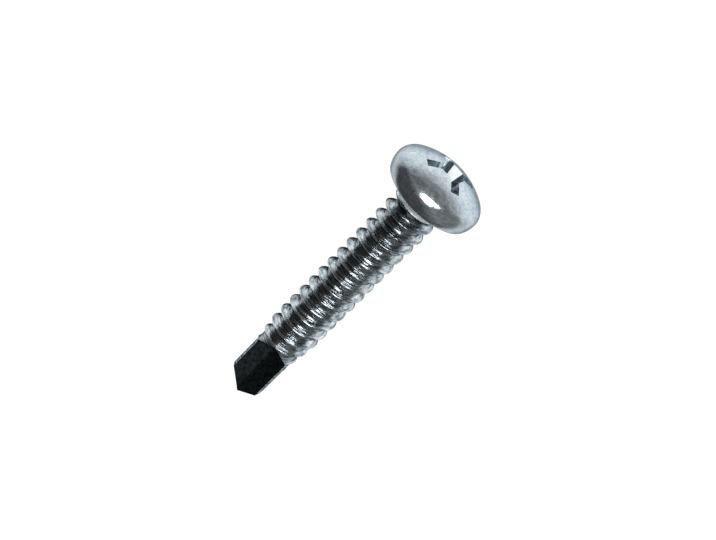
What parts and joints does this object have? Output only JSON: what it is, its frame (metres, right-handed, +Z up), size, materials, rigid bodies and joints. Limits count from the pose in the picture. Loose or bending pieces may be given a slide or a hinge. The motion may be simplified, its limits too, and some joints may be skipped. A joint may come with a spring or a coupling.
{
  "type": "self drilling screw",
  "caption": "Zinc-plated self drilling screw with a domed pan head, a cross recess, a coarse right-hand thread and a fluted drill point, lying on its side.",
  "frame": {"origin": "centre of the bounding box in plan, at the height of the surface the screw lies on", "axes": "+X runs from the drill point to the head, +Z is up; the screw's own axis rises towards the head by about 6 degrees from +X"},
  "size_m": [0.0412, 0.0122, 0.0122],
  "materials": {
    "zinc_plated_steel": "bright zinc plating, satin"
  },
  "bodies": {
    "root": {"screw": "zinc_plated_steel"}
  },
  "joints": []
}
